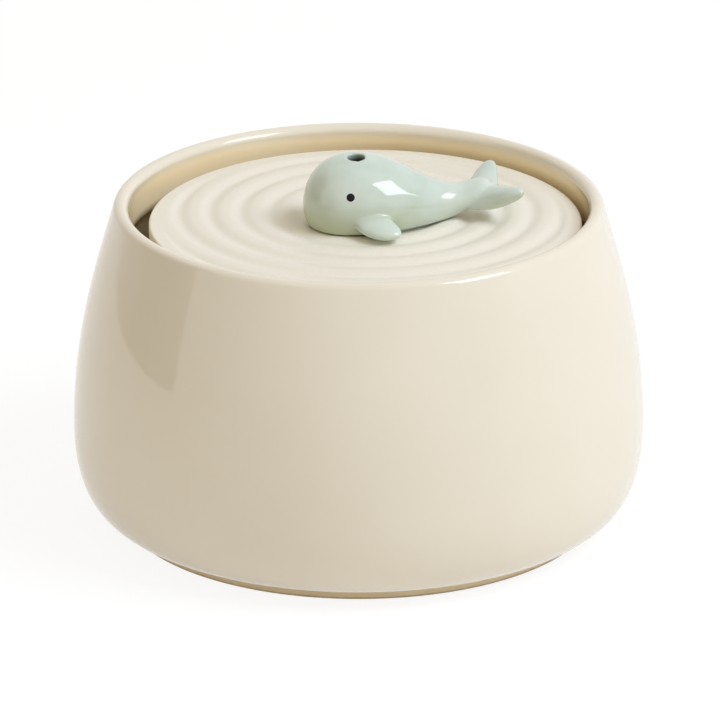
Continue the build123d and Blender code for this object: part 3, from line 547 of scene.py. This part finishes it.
whale = {
    "voxel": 0.45,  # how fine the remesh is
    "smoothing": 14,  # rounds
    "middle": (0.0, -1.3, 113.4),  # the head's middle, where the whale stands on its seal
    "yaw": 11.0,
    "eye": (-5.9, 14.8),  # along the whale and above its base
    "eyeRadius": 1.5,
    "eyeProud": 0.2,  # the dot's thickness as a share of its radius
    # the glint ring painted round each eye is this wide
    "glintRingWidth": 0.35,
    "finPaintedPale": (14.0, 20.0),  # from here to here out from the middle line the fins are kept pale, out of the painted shade
    "tailPaintedPale": (6.0, 22.0),  # and from here to here back along the whale
    "channel": ((2.4, 1.0, 116.4), (-1.2, -3.4, 139.5)),  # the spout's line from its bend to its mouth
    "bore": 3.2,  # radius of the channel
    "boreMargin": 0.6,  # its wall is found this far outside that
    "holeShadeDepth": (0.5, 3.0),  # from here to here below its mouth the painted shade in the channel deepens
}
toWorld = Matrix.Translation(Vector(whale["middle"]) * mm) @ Matrix.Rotation(radians(whale["yaw"]), 4, "Z")


def makeWhale():
    # the modelled form, remeshed so that fins and tail grow out of the body as in thick glaze
    bm = bmesh.new()
    bm.from_mesh(frame["nodes"]["whale_spout"].data)
    bmesh.ops.remove_doubles(bm, verts=bm.verts, dist=0.01 * mm)
    finish = "celadon_glaze"
    piece = addPiece("glazedWhale", bm, finishes[finish], "whale", ["whale_spout"])
    remesh = piece.modifiers.new("remesh", "REMESH")
    remesh.mode = "VOXEL"
    remesh.voxel_size = whale["voxel"] * mm
    smooth = piece.modifiers.new("smooth", "SMOOTH")
    smooth.factor = 0.5
    smooth.iterations = whale["smoothing"]
    applyModifiers(piece)
    for polygon in piece.data.polygons:
        polygon.use_smooth = True
    return piece


def findEyes(piece):
    # where a line across the whale meets its two sides
    along, up = whale["eye"]
    found = []
    for side in (-1, 1):
        start = toWorld @ (Vector((along, side * 50, up)) * mm)  # well outside the whale
        inward = toWorld.to_3x3() @ Vector((0, -side, 0))
        found.append(piece.ray_cast(start, inward)[1:3])  # the spot and the side's normal there
    return found


def markWhale(piece, eyes):
    # three masks: the painted glint ring round the eyes, the fins and tail kept pale out of the painted
    # shade, and the painted shade inside the spout
    mesh = piece.data
    masks = ("glintRing", "holeShade", "paintedPale")
    for name in masks:
        mesh.attributes.new(name, "FLOAT", "POINT")
    glintRing, holeShade, paintedPale = [mesh.attributes[name].data for name in masks]
    toWhale = toWorld.inverted()
    ring = (whale["eyeRadius"] + whale["glintRingWidth"]) * mm
    channel = (whale["bore"] + whale["boreMargin"]) * mm
    shallow, deep = [depth * mm for depth in whale["holeShadeDepth"]]
    low, mouth = [Vector(end) * mm for end in whale["channel"]]
    line = (mouth - low).normalized()
    for vert in mesh.vertices:
        nearest = min((vert.co - spot).length for spot, normal in eyes)
        glintRing[vert.index].value = 1.0 if nearest < ring else 0.0
        own = toWhale @ vert.co / mm
        fin = partway(abs(own.y), *whale["finPaintedPale"])
        tail = partway(own.x, *whale["tailPaintedPale"])
        paintedPale[vert.index].value = max(fin, tail)
        offset = vert.co - low
        along = offset.dot(line)
        aside = offset - along * line
        inside = along > 0 and aside.length < channel and vert.normal.dot(aside) < 0
        depth = partway(mouth.z - vert.co.z, shallow, deep)
        holeShade[vert.index].value = depth if inside else 0.0


def makeEyes(eyes):
    bm = bmesh.new()
    ball = {"u_segments": 40, "v_segments": 20, "radius": whale["eyeRadius"] * mm}
    for spot, normal in eyes:
        turn = normal.to_track_quat("Z", "Y").to_matrix().to_4x4()
        flatten = Matrix.Diagonal((1, 1, whale["eyeProud"], 1))
        bmesh.ops.create_uvsphere(bm, matrix=Matrix.Translation(spot) @ turn @ flatten, **ball)
    addPiece("dottedEyes", bm, ironBlackGlaze(), "whale")


whalePiece = makeWhale()
eyeSpots = findEyes(whalePiece)
markWhale(whalePiece, eyeSpots)
makeEyes(eyeSpots)
print("whale", len(whalePiece.data.polygons))


softFilters = {
    "place": (2.4, 1.0, 0),  # the filter module's axis
    "foam": {"inner": 38.5, "outer": 44.0, "low": 13.1, "high": 60.9, "corner": 1.4},
    "felts": [
        {"inner": 44.7, "outer": 45.5, "low": 15.05, "high": 90.65, "corner": 0.35},
        {"inner": 54.6, "outer": 55.4, "low": 15.05, "high": 90.65, "corner": 0.35},
    ],
    "ribs": 8,
    "sag": 0.2,  # how much thinner the felt is between the ribs
    "crumple": (0.1, 9.0),  # depth and size of the felt's unevenness
    "cutMarks": (0.22, 6.0),  # and of the foam's
    "seam": (1.6, 0.5),  # half the width and the depth of the foam's glued joint
}


def sleeve(inner, outer, low, high, corner, rows, steps):
    # a round tube with soft corners and rows of points up its sides
    heights = [low + corner + (high - low - 2 * corner) * i / rows for i in range(rows + 1)]
    profile = [flatPoint(outer, z) for z in heights[:-1]]
    profile += arcPoints((outer - corner, high - corner), corner, 0, 90, 4)
    profile += arcPoints((inner + corner, high - corner), corner, 90, 180, 4)
    profile += [flatPoint(inner, z) for z in reversed(heights[:-1])]
    profile += arcPoints((inner + corner, low + corner), corner, 180, 270, 4)[1:]
    profile += arcPoints((outer - corner, low + corner), corner, 270, 360, 4)
    return spun(profile, steps)


def makeFoam():
    # a die-cut sleeve: cut faces slightly uneven, with the glued seam at the back
    sizes = softFilters["foam"]
    rough, patch = softFilters["cutMarks"]
    seamHalf, seamDepth = softFilters["seam"]
    bm = sleeve(rows=24, steps=160, **sizes)
    bm.normal_update()
    for vert in bm.verts:
        turn = atan2(vert.co.y, vert.co.x) - pi / 2
        uneven = noise.noise(vert.co / (patch * mm)) - 1
        seam = max(0, 1 - abs(turn) * sizes["outer"] / seamHalf)
        vert.co += vert.normal * mm * (rough * uneven / 2 - seamDepth * seam)
    bmesh.ops.translate(bm, vec=Vector(softFilters["place"]) * mm, verts=bm.verts)
    finish = "filter_foam"
    foam = addPiece("foamSleeve", bm, finishes[finish], "filter_module", ["foam_sleeve"])


def makeFelt(name, sizes, free):
    # a felt sleeve, thinner where it is stretched between the ribs and faintly crumpled on its free side
    bm = sleeve(rows=30, steps=192, **sizes)
    middle = (sizes["inner"] + sizes["outer"]) / 2
    depth, patch = softFilters["crumple"]
    for vert in bm.verts:
        outward = vert.co.xy.normalized()
        side = (vert.co.xy.length / mm - middle) * free
        if side > 0:
            turn = atan2(vert.co.y, vert.co.x)
            between = 0.5 - 0.5 * cos(softFilters["ribs"] * turn)
            crumple = depth * (1 - noise.noise(vert.co / (patch * mm))) / 2
            vert.co.xy -= outward * (softFilters["sag"] * between + crumple) * free * mm
    bmesh.ops.translate(bm, vec=Vector(softFilters["place"]) * mm, verts=bm.verts)
    finish = "filter_felt"
    felt = addPiece(name, bm, finishes[finish], "ring_cartridge", ["cartridge_felt"])


makeFoam()
makeFelt("innerFelt", softFilters["felts"][0], free=-1)
makeFelt("outerFelt", softFilters["felts"][1], free=1)
print("filters")


view = {
    "distance": 2.4,  # metres, as the aim
    "elevation": 21.0,
    "lens": 326.5,
    "clipEnd": 50,
    "aim": (0.00044, -0.00042, 0.0589),
}


def makeCamera():
    lift = radians(view["elevation"])
    camera = bpy.data.objects.new("camera", bpy.data.cameras.new("camera"))
    camera.data.lens = view["lens"]
    camera.data.sensor_width = 36
    camera.data.clip_end = view["clipEnd"]
    camera.location = Vector(view["aim"]) + view["distance"] * Vector((0, -cos(lift), sin(lift)))
    camera.rotation_euler = (pi / 2 - lift, 0, 0)
    bpy.context.scene.collection.objects.link(camera)
    bpy.context.scene.camera = camera


makeCamera()


lamps = {
    "key": {"at": (1.46, -0.62, 1.95), "size": 1.1, "power": 42.5, "colour": "#dfebff", "lights": True},
    "window": {"at": (1.68, -0.90, 1.45), "size": 1.1, "power": 32, "colour": "#f4f8ff", "lights": False},
}
studio = {
    "lampAim": (0, 0, 0.08),  # metres, as where the lamps and the flag stand
    "ambient": 0.56,
    "tint": "#fff4e0",
    "floor": 6,  # half the paper's width in metres
    "paper": ("#f4f3f1", "#f7f6f4"),
    "lift": 0.84,  # how far the paper goes to plain white where it is seen, so that its shadow stays faint
    "glow": 1.05,  # brings the paper up to full white where it is seen
    "flag": {"from": (-0.97, -0.242), "to": (-0.60, 0.80), "height": 0.9, "dark": 0.25},  # dark to there
}


def makeLamp(name, at, size, power, colour, lights):
    # one that lights isn't seen mirrored, and the other is only seen mirrored
    data = bpy.data.lights.new(name, "AREA")
    data.size = size
    data.energy = power
    data.color = toLinear(colour)[:3]
    lamp = bpy.data.objects.new(name, data)
    lamp.location = at
    lamp.rotation_euler = (Vector(studio["lampAim"]) - Vector(at)).to_track_quat("-Z", "Y").to_euler()
    lamp.visible_diffuse = lights
    lamp.visible_glossy = not lights
    bpy.context.scene.collection.objects.link(lamp)


for name, settings in lamps.items():
    makeLamp(name, **settings)


def seenRays(tree):
    # 1 for rays from the camera and those mirrored or let through on their way
    rays = addNode(tree, "LightPath", out="Is Camera Ray").node.outputs
    seen = rays["Is Camera Ray"]
    for other in ("Is Glossy Ray", "Is Transmission Ray"):
        seen = addNode(tree, "Math", {0: seen, 1: rays[other]}, operation="MAXIMUM")
    return seen


def makeWorld():
    world = bpy.data.worlds.new("studio")
    world.use_nodes = True
    bpy.context.scene.world = world
    tree = world.node_tree
    seen = seenRays(tree)
    level = addNode(tree, "MapRange", {"Value": seen, "To Min": studio["ambient"], "To Max": 1.0})
    colour = addNode(tree, "Mix", {0: seen, 6: studio["tint"], 7: "#ffffff"}, out=2, data_type="RGBA")
    plug(tree, tree.nodes["Background"], {"Strength": level, "Color": colour})


makeWorld()


def stageObject(name, bm, material):
    mesh = bpy.data.meshes.new(name)
    bm.to_mesh(mesh)
    bm.free()
    mesh.materials.append(material)
    item = bpy.data.objects.new(name, mesh)
    bpy.context.scene.collection.objects.link(item)
    return item


def makeFloor():
    # seamless white paper with a faint fibre in it
    bm = bmesh.new()
    bmesh.ops.create_grid(bm, x_segments=1, y_segments=1, size=studio["floor"])
    material, tree, shader, point = newMaterial("paperSweep")
    fibre = addNode(tree, "TexNoise", {"Vector": point, "Scale": 1 / (4 * mm), "Detail": 4.0})
    low, high = studio["paper"]
    colour = addNode(tree, "ValToRGB", {"Fac": fibre}, stops=[(0.3, low), (0.7, high)])
    lift = addNode(tree, "Math", {0: seenRays(tree), 1: studio["lift"]}, operation="MULTIPLY")
    glow = addNode(tree, "Math", {0: lift, 1: studio["glow"]}, operation="MULTIPLY")
    lit = addNode(tree, "Mix", {0: lift, 6: colour, 7: "#000000"}, out=2, data_type="RGBA")
    plug(tree, shader, {"Base Color": lit, "Roughness": 1.0, "Specular IOR Level": 0.0})
    plug(tree, shader, {"Emission Color": "#ffffff", "Emission Strength": glow})
    stageObject("floor", bm, material)


def makeFlag():
    # a tall studio card at the left: only mirrored rays meet it, dark at its near end and fading to white
    card = studio["flag"]
    near, far = [Vector((x, y, 0)) for x, y in (card["from"], card["to"])]
    bm = bmesh.new()
    edge = bm.edges.new([bm.verts.new(near), bm.verts.new(far)])
    raised = bmesh.ops.extrude_edge_only(bm, edges=[edge])["geom"]
    top = [v for v in raised if isinstance(v, bmesh.types.BMVert)]
    bmesh.ops.translate(bm, vec=(0, 0, card["height"]), verts=top)
    material, tree, shader, point = newMaterial("flagCard")
    offset = addNode(tree, "VectorMath", {0: point, 1: near}, operation="SUBTRACT")
    toFar = {0: offset, 1: (far - near).normalized()}
    along = addNode(tree, "VectorMath", toFar, out="Value", operation="DOT_PRODUCT")
    ends = {"Value": along, "From Min": card["dark"], "From Max": (far - near).length}
    fade = addNode(tree, "MapRange", ends, interpolation_type="SMOOTHSTEP")
    plug(tree, shader, {"Base Color": "#191919", "Roughness": 1.0})
    plug(tree, shader, {"Emission Color": "#ffffff", "Emission Strength": fade})
    flag = stageObject("flag", bm, material)
    flag.visible_camera = False
    flag.visible_diffuse = False
    flag.visible_shadow = False


makeFloor()
makeFlag()
print("studio")

bpy.context.scene.view_settings.view_transform = "Standard"
